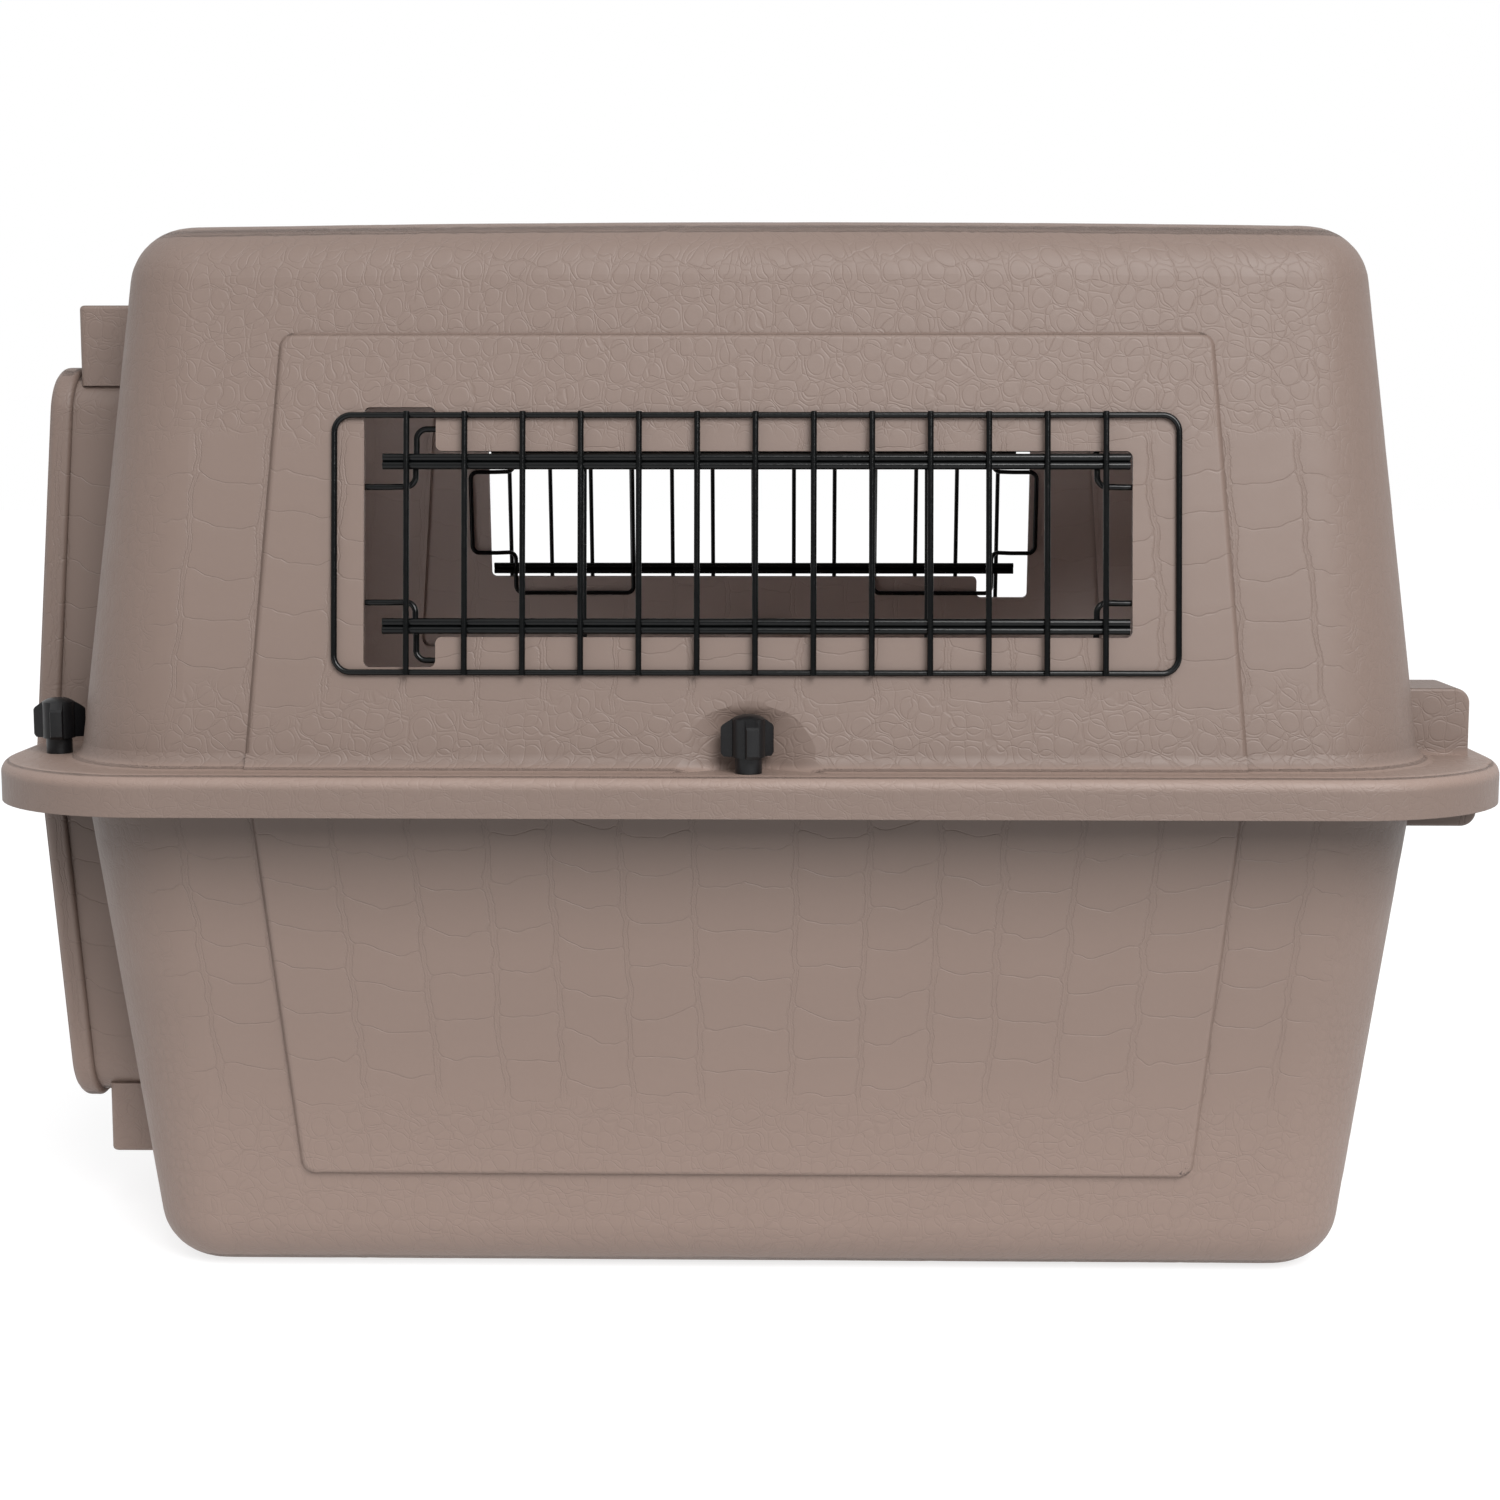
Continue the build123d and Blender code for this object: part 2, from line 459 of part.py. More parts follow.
NUT_R = 12.7
for (bx, by), label, turn in zip(BOLTS, NUT_NAMES, NUT_TURN):
    seat = Plane(origin=(bx, by, LEDGE_Z))
    with BuildPart() as nut:
        with BuildSketch(seat):
            Circle(6.0)
        extrude(amount=9)
        with BuildSketch(seat.offset(7.3)):
            Circle(7.4)
            with PolarLocations(NUT_R / 2, 3, start_angle=turn):
                SlotCenterToCenter(NUT_R - 2.8, 5.6)
        extrude(amount=20)
        # turned outline: sloping wing tops and a domed hub
        with BuildSketch(Plane(origin=(bx, by, LEDGE_Z), x_dir=(1, 0, 0), z_dir=(0, -1, 0))):
            with BuildLine():
                Polyline((0, 0), (6.0, 0), (6.0, 7.3), (11.2, 7.3), (12.6, 8.8), (12.6, 20.4), (11.6, 21.6), (7.6, 24.2))
                Spline((7.6, 24.2), (4.4, 25.9), (0, 26.4), tangents=((-1, 0.8), (-1, 0)))
                Line((0, 26.4), (0, 0))
            make_face()
        revolve(axis=Axis((bx, by, 0), (0, 0, 1)), mode=Mode.INTERSECT)
        with BuildSketch(seat):
            Circle(BOLT_R + RUN)
        extrude(amount=19, mode=Mode.SUBTRACT)
    export(nut.part, label)

# ---------------------------------------------------------------- door
H_R = 2.0                                     # cross wires
V_R = 1.6                                     # upright wires
X_CROSS = PIN_X + PIN_R + H_R - WELD          # cross wires lie behind the hinge rod
X_UP = X_CROSS + H_R + V_R - WELD             # uprights behind the cross wires
REACH = 157.5                                 # outer cross wires from the door's middle
CROSS_Z = [DOOR_Z + dz for dz in (-REACH, -79.5, 0, 79.5, REACH)]
UP_Y = [26.0 * i for i in range(-4, 5)] + [-118.0]
HOUSE_Y0, HOUSE_Y1 = -137.0, -64.0
HOUSE_Z0, HOUSE_Z1 = DOOR_Z - 49.5, DOOR_Z + 49.5
HOUSE_X0, HOUSE_X1 = PIN_X - 16.0, X_UP - V_R - 0.05

with BuildPart() as door_grid:
    for z in CROSS_Z:
        y_low = {DOOR_Z - REACH: -127.0, DOOR_Z + REACH: -127.0, DOOR_Z: HOUSE_Y1 + 0.05}.get(z, -120.0)
        y_high = PIN_Y + 1.5
        with Locations((X_CROSS, (y_low + y_high) / 2, z)):
            Cylinder(H_R, y_high - y_low, rotation=(90, 0, 0))
    with Locations(*[(X_UP, y, DOOR_Z) for y in UP_Y]):
        Cylinder(V_R, 325)
    # eyes that guide the latch rods
    with Locations((PIN_X, -PIN_Y, DOOR_Z + REACH), (PIN_X, -PIN_Y, DOOR_Z - REACH)):
        Cylinder(5.4, 9)
    with Locations((PIN_X, -PIN_Y, DOOR_Z + REACH), (PIN_X, -PIN_Y, DOOR_Z - REACH)):
        Cylinder(PIN_R + RUN, 12, mode=Mode.SUBTRACT)
    # the hinge rod's seat in the ends of the cross wires
    with Locations((PIN_X, PIN_Y, DOOR_Z)):
        Cylinder(PIN_R, 400, mode=Mode.SUBTRACT)
export(door_grid.part, "door_grid")

with BuildPart() as door_hinge_rod:
    with Locations((PIN_X, PIN_Y, DOOR_Z - 199.5)):
        Cylinder(PIN_R, 397.5, align=(Align.CENTER, Align.CENTER, Align.MIN))
    chamfer(door_hinge_rod.edges().filter_by(GeomType.CIRCLE), 0.6)
export(door_hinge_rod.part, "door_hinge_rod")

POCK_Y0, POCK_Y1 = HOUSE_Y0 + 2.5, HOUSE_Y1 - 6.0
POCK_Z0, POCK_Z1 = HOUSE_Z0 + 8, HOUSE_Z1 - 8
SCREWS = [(-91.0, HOUSE_Z0 + 4.5), (-91.0, HOUSE_Z1 - 4.5)]
with BuildPart() as latch_housing:
    with BuildSketch(Plane.YZ.offset(HOUSE_X0)):
        with Locations(((HOUSE_Y0 + HOUSE_Y1) / 2, (HOUSE_Z0 + HOUSE_Z1) / 2)):
            RectangleRounded(HOUSE_Y1 - HOUSE_Y0, HOUSE_Z1 - HOUSE_Z0, 6)
    extrude(amount=HOUSE_X1 - HOUSE_X0)
    fillet(latch_housing.faces().sort_by(Axis.X)[0].edges(), 1.6)
    with BuildSketch(Plane.YZ.offset(HOUSE_X0 - 1)):
        with Locations(((POCK_Y0 + POCK_Y1) / 2, (POCK_Z0 + POCK_Z1) / 2)):
            RectangleRounded(POCK_Y1 - POCK_Y0, POCK_Z1 - POCK_Z0, 3)
    extrude(amount=PIN_X + PIN_R + 0.3 - HOUSE_X0 + 1, mode=Mode.SUBTRACT)
    # rib across the pocket that the springs push against
    with BuildSketch(Plane.YZ.offset(HOUSE_X0 + 4)):
        with Locations(((POCK_Y0 + POCK_Y1) / 2, DOOR_Z)):
            Rectangle(POCK_Y1 - POCK_Y0 + 2, 3)
    extrude(amount=15)
    with Locations((PIN_X, -PIN_Y, (HOUSE_Z0 + HOUSE_Z1) / 2)):
        Cylinder(PIN_R + RUN, HOUSE_Z1 - HOUSE_Z0 + 2, mode=Mode.SUBTRACT)
    with BuildSketch(Plane.YZ.offset(HOUSE_X1)):
        with Locations(*SCREWS):
            Circle(1.3)
    extrude(amount=-10, mode=Mode.SUBTRACT)
export(latch_housing.part, "latch_housing")

PLATE_X0 = X_UP + V_R + 0.05
with BuildPart() as latch_back_plate:
    with BuildSketch(Plane.YZ.offset(PLATE_X0)):
        with Locations(((HOUSE_Y0 + 10 + HOUSE_Y1) / 2, (HOUSE_Z0 + HOUSE_Z1) / 2)):
            RectangleRounded(HOUSE_Y1 - HOUSE_Y0 - 10, HOUSE_Z1 - HOUSE_Z0, 5)
        with Locations(*SCREWS):
            Circle(1.6, mode=Mode.SUBTRACT)
    extrude(amount=3)
export(latch_back_plate.part, "latch_back_plate")

with BuildPart() as latch_screws:
    with BuildSketch(Plane.YZ.offset(PLATE_X0 + 3)):
        with Locations(*SCREWS):
            Circle(2.8)
    extrude(amount=1.8)
    fillet(latch_screws.faces().group_by(Axis.X)[-1].edges(), 0.8)
    with BuildSketch(Plane.YZ.offset(PLATE_X0 + 3)):
        with Locations(*SCREWS):
            Circle(1.3)
    extrude(amount=-14)
export(latch_screws.part, "latch_screws")

SPRING_Y = -101.0
SPRING_X = PIN_X - 7.5
for name, z_tab, sign, z_tip in (("upper", DOOR_Z + 6.25, 1, DOOR_Z + 168.5), ("lower", DOOR_Z - 6.25, -1, DOOR_Z - 168.5)):
    # sliding tab with a finger ridge, squeezed towards the middle at rest
    z_mid = z_tab + sign * 6
    with BuildPart() as tab:
        with BuildSketch(Plane.YZ.offset(HOUSE_X0 + 1.5)):
            with Locations(((POCK_Y0 + POCK_Y1) / 2, z_mid)):
                RectangleRounded(POCK_Y1 - POCK_Y0 - 0.8, 12, 2)
        extrude(amount=PIN_X + PIN_R - 0.1 - HOUSE_X0 - 1.5)
        with BuildSketch(Plane.YZ.offset(HOUSE_X0 + 3)):
            with Locations((-98.0, z_tab + sign * 8.5)):
                RectangleRounded(44, 5, 2.2)
        extrude(amount=-8)
        fillet(tab.faces().sort_by(Axis.X)[0].edges(), 1.0)
        with Locations((PIN_X, -PIN_Y, z_mid)):
            Cylinder(PIN_R, 30, mode=Mode.SUBTRACT)
    export(tab.part, f"{name}_finger_tab")

    with BuildPart() as rod:
        z_in = z_tab + sign * 0.5
        with Locations((PIN_X, -PIN_Y, min(z_in, z_tip))):
            Cylinder(PIN_R, abs(z_tip - z_in), align=(Align.CENTER, Align.CENTER, Align.MIN))
        chamfer(rod.faces().sort_by(Axis.Z)[-1 if sign > 0 else 0].edges(), 0.8)
    export(rod.part, f"{name}_latch_rod")

    # coil spring between the rib and the tab, nearly closed at rest
    z_rib = DOOR_Z + sign * 1.5
    start = min(z_rib, z_tab) + 0.42
    with BuildPart() as spring:
        with BuildLine(Plane(origin=(SPRING_X, SPRING_Y, start))) as coil:
            Helix(pitch=0.97, height=4.75 - 0.84 - 0.03, radius=3.4)
        with BuildSketch(Plane(origin=coil.line @ 0, z_dir=coil.line % 0)):
            Circle(0.4)
        sweep(path=coil.line, is_frenet=True)
    export(spring.part, f"{name}_latch_spring")
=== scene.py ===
import json
import math
import bpy
import bmesh
from mathutils import Matrix, Vector

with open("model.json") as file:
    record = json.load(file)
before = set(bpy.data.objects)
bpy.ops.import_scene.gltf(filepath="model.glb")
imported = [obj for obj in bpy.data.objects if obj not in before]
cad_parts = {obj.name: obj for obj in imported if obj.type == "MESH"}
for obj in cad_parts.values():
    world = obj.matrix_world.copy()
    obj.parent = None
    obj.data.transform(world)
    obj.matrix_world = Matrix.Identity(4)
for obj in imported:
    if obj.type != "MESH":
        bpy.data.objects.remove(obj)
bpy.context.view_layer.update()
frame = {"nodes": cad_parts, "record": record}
nodes = frame["nodes"]
scene = bpy.context.scene

# the carrier's own numbers, in metres, as in the CAD source
SPLIT_Z, LEDGE_Z, SKIRT_Z = 0.242, 0.245, 0.226
DRAFT = 0.132
FOOT_HL, UPPER_HW = 0.3135, 0.255


# ------------------------------------------------------------------ node helpers
class Tree:
    """Short calls for building a shader tree."""

    def __init__(self, name):
        self.mat = bpy.data.materials.new(name)
        self.mat.use_nodes = True
        self.t = self.mat.node_tree
        self.t.nodes.clear()
        self.out = self.t.nodes.new("ShaderNodeOutputMaterial")
        self.bsdf = self.t.nodes.new("ShaderNodeBsdfPrincipled")
        self.t.links.new(self.bsdf.outputs[0], self.out.inputs[0])

    def put(self, socket, value):
        if isinstance(value, bpy.types.NodeSocket):
            self.t.links.new(value, socket)
        elif isinstance(value, (tuple, list)) and len(value) == 3 and len(socket.default_value) == 4:
            socket.default_value = (*value, 1.0)
        else:
            socket.default_value = value

    def math(self, op, a, b=None, c=None, clamp=False):
        n = self.t.nodes.new("ShaderNodeMath")
        n.operation = op
        n.use_clamp = clamp
        self.put(n.inputs[0], a)
        if b is not None:
            self.put(n.inputs[1], b)
        if c is not None:
            self.put(n.inputs[2], c)
        return n.outputs[0]

    def smooth(self, x, e0, e1, lo=0.0, hi=1.0):
        n = self.t.nodes.new("ShaderNodeMapRange")
        n.interpolation_type = "SMOOTHSTEP"
        self.put(n.inputs["Value"], x)
        self.put(n.inputs["From Min"], e0)
        self.put(n.inputs["From Max"], e1)
        self.put(n.inputs["To Min"], lo)
        self.put(n.inputs["To Max"], hi)
        return n.outputs["Result"]

    def groove(self, d, at, half):
        """1 on the line d == at, falling to 0 at half away."""
        return self.smooth(self.math("ABSOLUTE", self.math("SUBTRACT", d, at)), 0.0, half, 1.0, 0.0)

    def xyz(self, v):
        n = self.t.nodes.new("ShaderNodeSeparateXYZ")
        self.put(n.inputs[0], v)
        return n.outputs

    def vec(self, x, y, z=0.0):
        n = self.t.nodes.new("ShaderNodeCombineXYZ")
        for i, v in enumerate((x, y, z)):
            self.put(n.inputs[i], v)
        return n.outputs[0]

    def noise(self, vector, scale, detail=2.0, rough=0.5, colour=False, dims="3D"):
        n = self.t.nodes.new("ShaderNodeTexNoise")
        n.noise_dimensions = dims
        self.put(n.inputs["Vector"], vector)
        n.inputs["Scale"].default_value = scale
        n.inputs["Detail"].default_value = detail
        n.inputs["Roughness"].default_value = rough
        return n.outputs["Color" if colour else "Fac"]

    def voronoi(self, vector=None, w=None, scale=1.0, feature="DISTANCE_TO_EDGE", random=1.0, dims="2D"):
        n = self.t.nodes.new("ShaderNodeTexVoronoi")
        n.voronoi_dimensions = dims
        n.feature = feature
        if vector is not None:
            self.put(n.inputs["Vector"], vector)
        if w is not None:
            self.put(n.inputs["W"], w)
        n.inputs["Scale"].default_value = scale
        n.inputs["Randomness"].default_value = random
        return n

    def mix(self, f, a, b):
        n = self.t.nodes.new("ShaderNodeMix")
        n.data_type = "FLOAT"
        self.put(n.inputs[0], f)
        self.put(n.inputs[2], a)
        self.put(n.inputs[3], b)
        return n.outputs[0]

    def mix_colour(self, f, a, b, blend="MIX"):
        n = self.t.nodes.new("ShaderNodeMix")
        n.data_type = "RGBA"
        n.blend_type = blend
        self.put(n.inputs[0], f)
        self.put(n.inputs[6], a)
        self.put(n.inputs[7], b)
        return n.outputs[2]

    def bump(self, height, distance, strength=1.0, under=None):
        n = self.t.nodes.new("ShaderNodeBump")
        n.inputs["Strength"].default_value = strength
        n.inputs["Distance"].default_value = distance
        self.put(n.inputs["Height"], height)
        if under is not None:
            self.put(n.inputs["Normal"], under)
        return n.outputs[0]

    def coords(self):
        n = self.t.nodes.new("ShaderNodeTexCoord")
        return n.outputs["Object"], n.outputs["Normal"]


def srgb(r, g, b):
    return tuple((c / 255 / 12.92) if c <= 10.31 else ((c / 255 + 0.055) / 1.055) ** 2.4 for c in (r, g, b))


# ------------------------------------------------------------------ embossed plastic
def shell_material():
    t = Tree("taupe_embossed_plastic")
    obj, nrm = t.coords()
    x, y, z = t.xyz(obj)
    nx, ny, nz = t.xyz(nrm)
    dz = t.math("ABSOLUTE", t.math("SUBTRACT", z, SPLIT_Z))
    # wall coordinates in millimetres: u runs round the walls and is mirrored at the middles, v is height
    shrink_x = t.math("SUBTRACT", 1.0, t.math("MULTIPLY", dz, DRAFT / FOOT_HL))
    shrink_y = t.math("SUBTRACT", 1.0, t.math("MULTIPLY", dz, DRAFT / UPPER_HW))
    sx = t.math("MULTIPLY", t.math("DIVIDE", t.math("ABSOLUTE", x), shrink_x), 1000.0)
    sy = t.math("MULTIPLY", t.math("DIVIDE", t.math("ABSOLUTE", y), shrink_y), 1000.0)
    u = t.math("SUBTRACT", sx, sy)
    v = t.math("MULTIPLY", z, 1000.0)
    flat = t.smooth(t.math("ABSOLUTE", nz), 0.80, 0.93)
    u = t.mix(flat, u, t.math("MULTIPLY", x, 1000.0))
    v = t.mix(flat, v, t.math("MULTIPLY", y, 1000.0))
    p = t.vec(u, v)
    # slow wander of every line
    warp = t.noise(p, 0.045, 2.0, 0.5, colour=True)
    wx, wy, _ = t.xyz(warp)
    wx = t.math("SUBTRACT", wx, 0.5)
    wy = t.math("SUBTRACT", wy, 0.5)
    uw = t.math("ADD", u, t.math("MULTIPLY", wx, 9.0))
    vw = t.math("ADD", v, t.math("MULTIPLY", wy, 12.0))

    # broad plates: columns parted by double wrinkles, rows parted by single lines
    ucol = t.math("DIVIDE", t.math("ADD", uw, 17.0), 35.0)
    col_d = t.voronoi(w=ucol, random=0.55, dims="1D").outputs["Distance"]
    col_d = t.math("MULTIPLY", col_d, 35.0)
    col = t.voronoi(w=ucol, feature="F1", random=0.55, dims="1D")
    r1, r2, _ = t.xyz(col.outputs["Color"])
    off = t.math("SUBTRACT", ucol, col.outputs["W"])
    slope = t.math("MULTIPLY", t.math("SUBTRACT", r2, 0.5), 16.0)
    sag = t.math("MULTIPLY", t.math("MULTIPLY", off, off), -11.0)
    vr = t.math("ADD", t.math("ADD", vw, sag), t.math("MULTIPLY", off, slope))
    vr = t.math("ADD", t.math("DIVIDE", vr, 21.0), t.math("MULTIPLY", r1, 53.0))
    row_d = t.math("MULTIPLY", t.voronoi(w=vr, random=0.45, dims="1D").outputs["Distance"], 21.0)
    pinch = t.noise(t.vec(t.math("MULTIPLY", u, 0.05), t.math("MULTIPLY", v, 0.6)), 1.0, 1.0)
    half_band = t.math("ADD", 0.7, t.math("MULTIPLY", pinch, 1.5))
    plate_d = t.math("SMOOTH_MIN", t.math("SUBTRACT", col_d, half_band), t.math("SUBTRACT", row_d, 0.1), 4.0)
    g_col = t.groove(plate_d, -0.25, 0.55)
    g_mid = t.math("MULTIPLY", t.groove(col_d, 0.0, 0.5), 0.4)
    g_row = t.math("MULTIPLY", t.groove(row_d, 0.0, 0.5), t.smooth(col_d, 2.0, 5.0))
    wrinkle = t.noise(t.vec(t.math("MULTIPLY", u, 0.5), t.math("MULTIPLY", v, 1.1)), 1.0, 3.0, 0.65)
    in_band = t.smooth(col_d, 1.2, 3.4, 1.0, 0.0)
    g_wr = t.math("MULTIPLY", t.smooth(wrinkle, 0.52, 0.66), t.math("MULTIPLY", in_band, 0.55))
    plates = t.math("MAXIMUM", t.math("MAXIMUM", g_col, g_row), t.math("MAXIMUM", g_mid, g_wr))
    dome = t.math("MULTIPLY", t.smooth(plate_d, -0.3, 4.0), 0.30)
    plates_h = t.math("SUBTRACT", dome, plates)

    # pebbles: round scales with arcs running through them
    pw = t.vec(t.math("ADD", u, t.math("MULTIPLY", wx, 5.0)), t.math("ADD", v, t.math("MULTIPLY", wy, 5.0)))
    peb_d = t.math("MULTIPLY", t.voronoi(pw, scale=1 / 10.5, random=0.62).outputs["Distance"], 10.5)
    peb_c = t.math("MULTIPLY", t.voronoi(pw, scale=1 / 10.5, random=0.62, feature="F1").outputs["Distance"], 10.5)
    peb_ring = t.groove(peb_c, 4.5, 0.6)
    arc_v = t.vec(t.math("ADD", u, t.math("MULTIPLY", wx, 26.0)), t.math("MULTIPLY", t.math("ADD", v, t.math("MULTIPLY", wy, 30.0)), 1.5))
    arc_d = t.math("MULTIPLY", t.voronoi(arc_v, scale=1 / 21.0, random=0.9).outputs["Distance"], 21.0)
    g_peb = t.math("MAXIMUM", t.math("MULTIPLY", t.groove(peb_d, 0.0, 0.55), 0.55), t.math("MULTIPLY", peb_ring, 0.6))
    g_arc = t.math("MULTIPLY", t.groove(arc_d, 0.0, 0.8), 0.8)
    pebbles_h = t.math("SUBTRACT", t.math("MULTIPLY", t.smooth(peb_d, 0.0, 3.0), 0.35), t.math("MAXIMUM", g_peb, g_arc))

    # small round scales of the corners and the rim
    fw = t.vec(t.math("ADD", u, t.math("MULTIPLY", wx, 3.0)), t.math("ADD", v, t.math("MULTIPLY", wy, 3.0)))
    fine_d = t.math("MULTIPLY", t.voronoi(fw, scale=1 / 6.2, random=0.6).outputs["Distance"], 6.2)
    fine_c = t.math("MULTIPLY", t.voronoi(fw, scale=1 / 6.2, random=0.6, feature="F1").outputs["Distance"], 6.2)
    fine_g = t.math("MAXIMUM", t.math("MULTIPLY", t.groove(fine_d, 0.0, 0.5), 0.5), t.math("MULTIPLY", t.groove(fine_c, 2.8, 0.5), 0.6))
    fine_h = t.math("SUBTRACT", t.math("MULTIPLY", t.smooth(fine_c, 1.0, 3.2, 1.0, 0.0), 0.4), fine_g)

    # where each kind lies
    edge_noise = t.math("MULTIPLY", t.math("SUBTRACT", t.noise(p, 0.03, 2.0), 0.5), 46.0)
    ve = t.math("ADD", v, edge_noise)
    wall = t.math("SUBTRACT", 1.0, flat)
    low_plates = t.math("MULTIPLY", t.smooth(ve, 80.0, 94.0), t.smooth(v, 224.0, 226.0, 1.0, 0.0))
    high_plates = t.math("MULTIPLY", t.smooth(ve, 268.0, 282.0), t.smooth(ve, 386.0, 402.0, 1.0, 0.0))
    plate_mask = t.math("MULTIPLY", t.math("MAXIMUM", low_plates, high_plates), wall, clamp=True)
    corner = t.math("ABSOLUTE", t.math("SUBTRACT", u, 313.5 - 255.0))
    plate_mask = t.math("MULTIPLY", plate_mask, t.smooth(t.math("ADD", corner, edge_noise), 26.0, 40.0))
    roof_mid = t.math("MULTIPLY", flat, t.math("MULTIPLY", t.smooth(sy, 120.0, 150.0, 1.0, 0.0), t.smooth(sx, 190.0, 220.0, 1.0, 0.0)))
    plate_mask = t.math("MAXIMUM", plate_mask, roof_mid)
    rim = t.math("MULTIPLY", t.smooth(z, SKIRT_Z - 0.0015, SKIRT_Z - 0.0005), t.smooth(z, LEDGE_Z + 0.0005, LEDGE_Z + 0.0015, 1.0, 0.0))
    tight = t.math("MAXIMUM", rim, t.smooth(t.math("ADD", corner, t.math("MULTIPLY", edge_noise, 0.5)), 20.0, 34.0, 1.0, 0.0))
    tight = t.math("MULTIPLY", tight, t.smooth(ve, 120.0, 150.0, 1.0, 0.35))
    rough_h = t.mix(tight, pebbles_h, fine_h)
    height = t.mix(plate_mask, rough_h, plates_h)
    pores = t.noise(obj, 900.0, 2.0, 0.6)
    pores = t.math("MULTIPLY", pores, 0.10)
    height = t.math("ADD", height, pores)
    height = t.math("ADD", height, t.math("MULTIPLY", t.noise(obj, 160.0, 3.0, 0.6), 0.22))
    t.put(t.bsdf.inputs["Normal"], t.bump(height, 0.00016))

    # colour: taupe with slow mottling, painted shade a little darker in the grain lines, dark scuffs where it was
    # knocked
    base = t.mix_colour(t.noise(obj, 9.0, 4.0, 0.6), srgb(122, 104, 95), srgb(126, 108, 99))
    base = t.mix_colour(t.math("MULTIPLY", t.noise(obj, 400.0, 2.0), 0.25), base, srgb(114, 98, 90))
    # painted shade: the grooves of the grain are darkened, standing in for the shade that falls in them
    painted_groove_shade = t.smooth(height, 0.05, -0.75)
    base = t.mix_colour(t.math("MULTIPLY", painted_groove_shade, 0.07), base, srgb(96, 80, 72))
    # painted shade: the colour darkens a little up the walls and under the rim, standing in for the rim's shadow and
    # for the weaker light on the skirt and upper walls
    painted_shade_low = t.math("ADD", t.smooth(z, 0.03, 0.15, 0.0, 0.17), t.smooth(z, 0.15, 0.222, 0.0, 0.32))
    painted_shade_high = t.math("ADD", t.smooth(z, 0.2375, 0.2425, 0.29, 0.0), t.smooth(z, 0.2455, 0.249, 0.0, 0.27))
    is_high = t.math("GREATER_THAN", z, 0.2262)
    painted_shade_amount = t.math("ADD", t.math("MULTIPLY", is_high, painted_shade_high), t.math("MULTIPLY", t.math("SUBTRACT", 1.0, is_high), painted_shade_low))
    # painted shade: darkening towards black by height
    base = t.mix_colour(painted_shade_amount, base, srgb(0, 0, 0))
    scuff = None
    for at, radius, cut in (((0.3495, -0.190, 0.2340), 0.0085, 0.50), ((0.2050, -0.230, 0.0530), 0.006, 0.50)):
        n = t.t.nodes.new("ShaderNodeVectorMath")
        n.operation = "DISTANCE"
        t.put(n.inputs[0], obj)
        n.inputs[1].default_value = at
        near = t.smooth(n.outputs["Value"], radius * 0.35, radius, 1.0, 0.0)
        torn = t.smooth(t.math("MULTIPLY", t.noise(obj, 520.0, 3.0, 0.7), t.math("ADD", 0.55, t.math("MULTIPLY", near, 0.45))), cut, cut + 0.035)
        mark = t.math("MULTIPLY", near, torn)
        scuff = mark if scuff is None else t.math("MAXIMUM", scuff, mark)
    base = t.mix_colour(t.math("MULTIPLY", scuff, 0.85), base, srgb(62, 50, 46))
    # painted light: the unembossed inside is given a much paler colour, standing in for the light that reaches the
    # inside
    above = t.math("SUBTRACT", z, SPLIT_Z)
    drawn = t.math("ADD", t.math("MULTIPLY", t.math("MAXIMUM", above, 0.0), 0.1267), t.math("MULTIPLY", t.math("MAXIMUM", t.math("MULTIPLY", above, -1.0), 0.0), 0.137))
    half = t.math("ADD", 0.2515, t.math("MULTIPLY", t.math("GREATER_THAN", above, 0.0), 0.002))
    in_y = t.math("LESS_THAN", t.math("ADD", t.math("ABSOLUTE", y), drawn), half)
    in_y_wall = t.math("LESS_THAN", t.math("ADD", t.math("ABSOLUTE", y), drawn), t.math("ADD", half, 0.005))
    in_y = t.math("MAXIMUM", in_y, t.math("MULTIPLY", in_y_wall, t.math("LESS_THAN", t.math("MULTIPLY", ny, y), -0.15)))
    in_x = t.math("LESS_THAN", t.math("ADD", t.math("ABSOLUTE", x), drawn), 0.312)
    in_x_wall = t.math("LESS_THAN", t.math("ADD", t.math("ABSOLUTE", x), drawn), 0.318)
    in_x = t.math("MAXIMUM", in_x, t.math("MULTIPLY", in_x_wall, t.math("LESS_THAN", t.math("MULTIPLY", nx, x), -0.15)))
    in_z = t.math("MULTIPLY", t.math("LESS_THAN", z, 0.4865), t.math("GREATER_THAN", z, 0.002))
    inward = t.math("ADD", t.math("MULTIPLY", nx, x), t.math("MULTIPLY", ny, y))
    faces_in = t.math("LESS_THAN", inward, -0.02)
    up_in = t.math("MULTIPLY", t.math("LESS_THAN", nz, -0.5), t.math("GREATER_THAN", z, 0.40))
    down_in = t.math("MULTIPLY", t.math("GREATER_THAN", nz, 0.5), t.math("LESS_THAN", z, 0.03))
    faces_in = t.math("MAXIMUM", faces_in, t.math("MAXIMUM", up_in, down_in))
    painted_inside_light = t.math("MULTIPLY", t.math("MULTIPLY", t.math("MULTIPLY", in_x, in_y), in_z), faces_in)
    # painted light: the pale inside colour stands in for light inside the carrier
    base = t.mix_colour(painted_inside_light, base, srgb(202, 186, 180))
    t.put(t.bsdf.inputs["Base Color"], base)
    t.put(t.bsdf.inputs["Roughness"], t.math("ADD", 0.46, t.math("MULTIPLY", t.noise(obj, 60.0, 3.0), 0.14)))
    t.bsdf.inputs["Specular IOR Level"].default_value = 0.42
    return t.mat


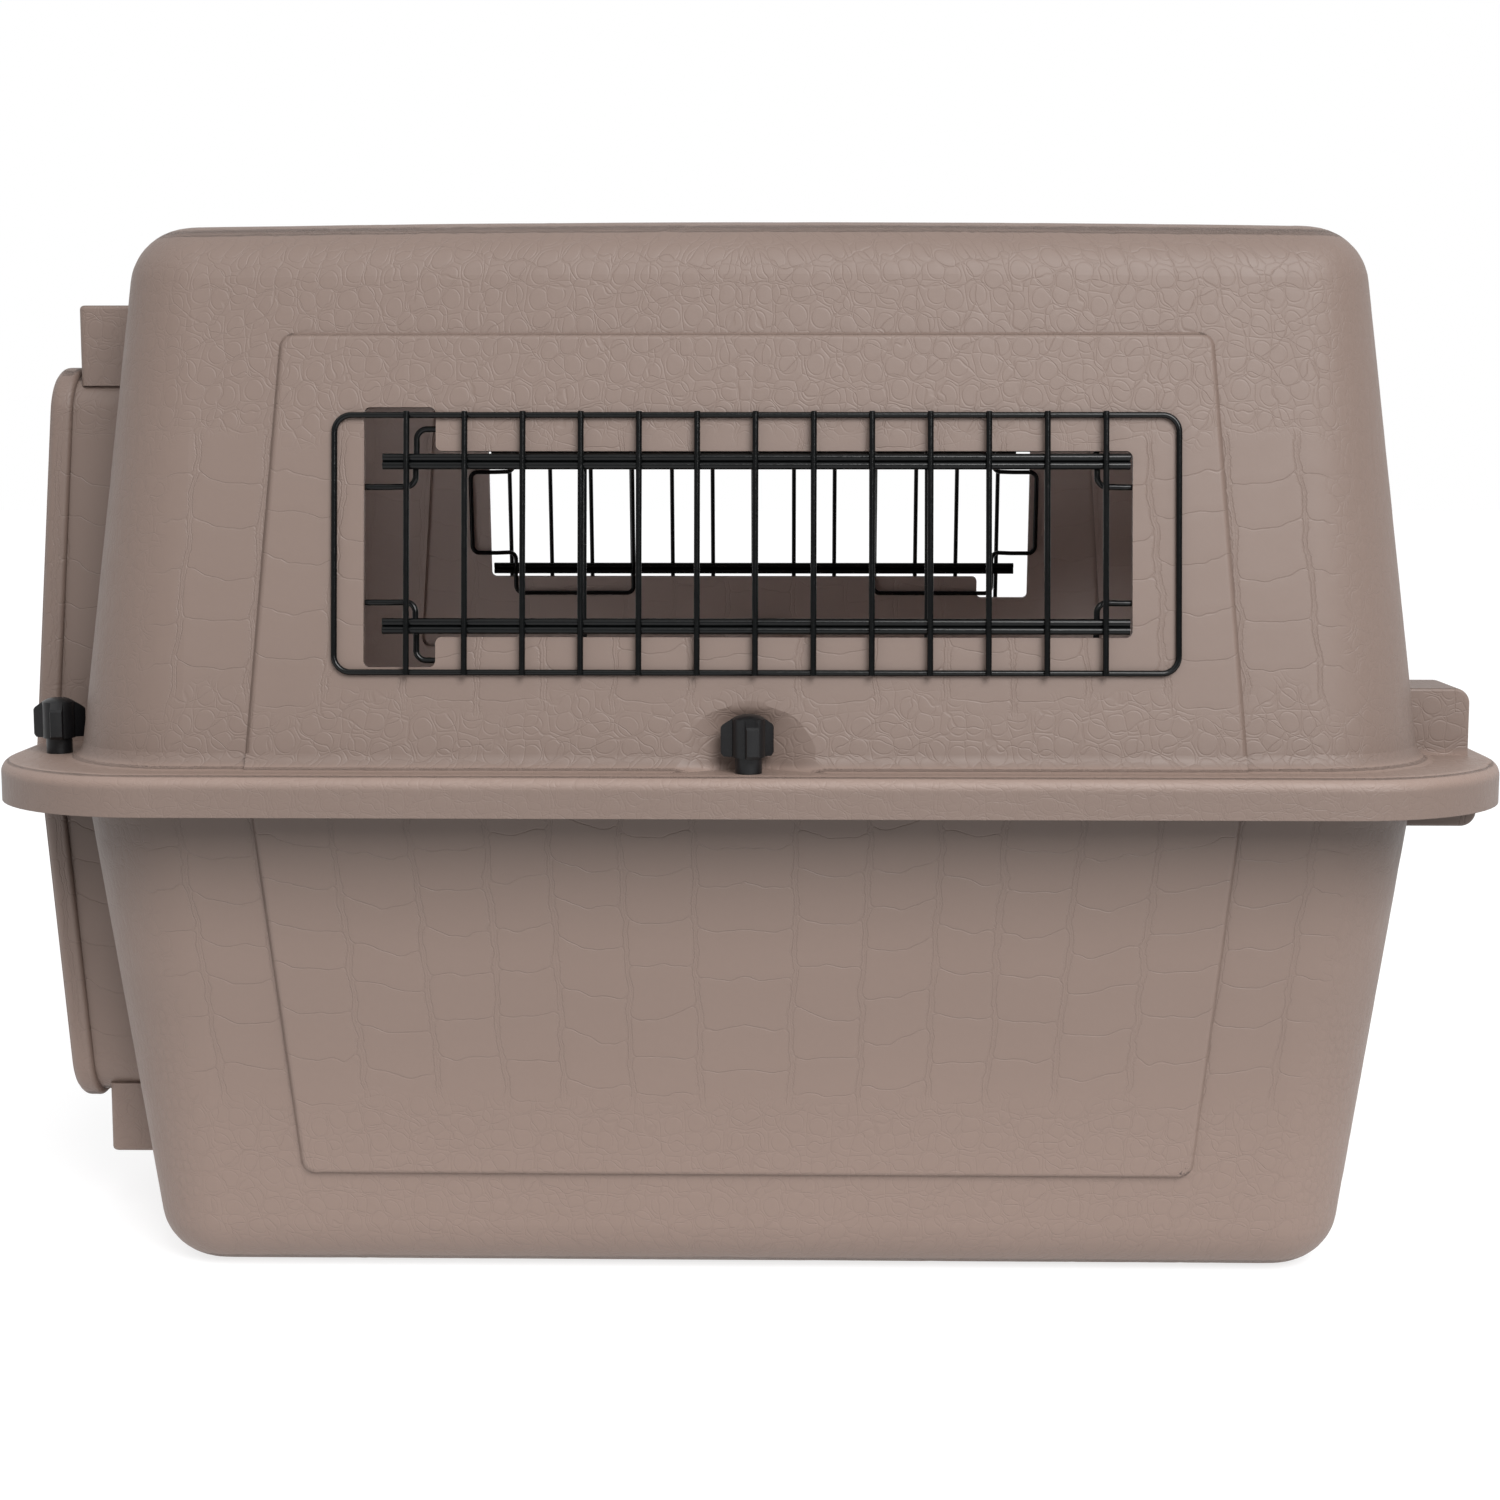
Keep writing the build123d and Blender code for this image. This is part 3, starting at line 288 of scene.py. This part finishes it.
def wire_material():
    t = Tree("black_coated_wire")
    obj, _ = t.coords()
    t.put(t.bsdf.inputs["Base Color"], t.mix_colour(t.noise(obj, 80.0, 3.0), srgb(4, 5, 5), srgb(8, 9, 10)))
    t.put(t.bsdf.inputs["Roughness"], t.math("ADD", 0.13, t.math("MULTIPLY", t.noise(obj, 260.0, 3.0), 0.10)))
    t.bsdf.inputs["Specular IOR Level"].default_value = 0.22
    t.put(t.bsdf.inputs["Normal"], t.bump(t.noise(obj, 300.0, 3.0, 0.6), 0.00008))
    return t.mat


def black_plastic_material():
    t = Tree("black_moulded_plastic")
    obj, _ = t.coords()
    t.put(t.bsdf.inputs["Base Color"], t.mix_colour(t.noise(obj, 120.0, 3.0), srgb(9, 9, 10), srgb(16, 16, 18)))
    t.put(t.bsdf.inputs["Roughness"], t.math("ADD", 0.26, t.math("MULTIPLY", t.noise(obj, 300.0, 3.0), 0.22)))
    t.bsdf.inputs["Specular IOR Level"].default_value = 0.28
    t.put(t.bsdf.inputs["Normal"], t.bump(t.noise(obj, 700.0, 3.0, 0.6), 0.00010))
    return t.mat


def zinc_material():
    t = Tree("zinc_plated_steel")
    obj, _ = t.coords()
    t.bsdf.inputs["Metallic"].default_value = 1.0
    t.put(t.bsdf.inputs["Base Color"], t.mix_colour(t.noise(obj, 220.0, 4.0), srgb(176, 178, 182), srgb(204, 205, 206)))
    t.put(t.bsdf.inputs["Roughness"], t.math("ADD", 0.28, t.math("MULTIPLY", t.noise(obj, 500.0, 3.0), 0.2)))
    t.put(t.bsdf.inputs["Normal"], t.bump(t.noise(obj, 1200.0, 2.0), 0.00006))
    return t.mat


MATS = {"taupe_shell": shell_material(), "black_wire": wire_material(), "black_plastic": black_plastic_material(), "zinc_steel": zinc_material()}
slot_of = {s["node"]: s["material_slot"] for s in frame["record"]["subparts"]}


def paint(o, mat):
    o.data.materials.clear()
    o.data.materials.append(mat)


for name, o in nodes.items():
    paint(o, MATS[slot_of[name]])

# ------------------------------------------------------------------ floor, light, camera
floor_mesh = bpy.data.meshes.new("floor")
floor_mesh.from_pydata([(-12, -12, 0), (12, -12, 0), (12, 12, 0), (-12, 12, 0)], [], [(0, 1, 2, 3)])
floor = bpy.data.objects.new("floor", floor_mesh)
scene.collection.objects.link(floor)
floor.location.z = -0.0004
fm = Tree("pale_floor")
fm.bsdf.inputs["Base Color"].default_value = (0.30, 0.30, 0.303, 1)
fm.bsdf.inputs["Roughness"].default_value = 0.9
fm.bsdf.inputs["Specular IOR Level"].default_value = 0.1
fm.bsdf.inputs["Emission Color"].default_value = (1, 1, 1, 1)
fm.bsdf.inputs["Emission Strength"].default_value = 0.74
floor_mesh.materials.append(fm.mat)

world = bpy.data.worlds.new("studio")
scene.world = world
world.use_nodes = True
wt = world.node_tree
bg = wt.nodes["Background"]
bg.inputs["Color"].default_value = (1, 1, 1, 1)


def wnode(kind, **inputs):
    n = wt.nodes.new(kind)
    for key, value in inputs.items():
        sock = n.inputs[int(key[1:])]
        if isinstance(value, bpy.types.NodeSocket):
            wt.links.new(value, sock)
        else:
            sock.default_value = value
    return n


def wmath(op, a, b):
    n = wnode("ShaderNodeMath", i0=a, i1=b)
    n.operation = op
    return n.outputs[0]


def wramp(x, e0, e1, lo, hi):
    n = wnode("ShaderNodeMapRange", i0=x, i1=e0, i2=e1, i3=lo, i4=hi)
    n.interpolation_type = "SMOOTHSTEP"
    return n.outputs[0]


# white cyclorama behind the carrier, a dimmer room in front of it with a bright ceiling
sky = wnode("ShaderNodeTexCoord").outputs["Generated"]
sep = wnode("ShaderNodeSeparateXYZ", i0=sky)
front = wramp(sep.outputs[1], -0.05, 0.25, 1.0, 0.0)
dome = wramp(sep.outputs[2], 0.22, 0.60, 0.28, 1.05)
dome = wmath("MULTIPLY", dome, wmath("ADD", 1.0, wmath("MULTIPLY", sep.outputs[0], -0.45)))
strength = wmath("ADD", wmath("MULTIPLY", front, dome), wmath("SUBTRACT", 1.0, front))
wt.links.new(strength, bg.inputs["Strength"])


def area(name, at, look, size, power, size_y=None):
    d = bpy.data.lights.new(name, "AREA")
    d.shape = "RECTANGLE"
    d.size = size
    d.size_y = size_y or size
    d.energy = power
    o = bpy.data.objects.new(name, d)
    scene.collection.objects.link(o)
    o.location = at
    o.rotation_euler = (Vector(look) - Vector(at)).to_track_quat("-Z", "Y").to_euler()
    return o


area("key", (1.3, -3.15, 2.5), (0, -0.2, 0.24), 2.2, 195)

cam_data = bpy.data.cameras.new("camera")
cam = bpy.data.objects.new("camera", cam_data)
scene.collection.objects.link(cam)
cam_data.lens = 60.505
cam_data.sensor_width = 36.0
cam.location = (0.02327, -1.37458, 0.39383)
cam.rotation_euler = (math.radians(90 - 7.09898), 0, math.radians(1.06333))
cam_data.clip_start, cam_data.clip_end = 0.05, 60
scene.camera = cam

scene.view_settings.view_transform = "Standard"
scene.view_settings.look = "None"
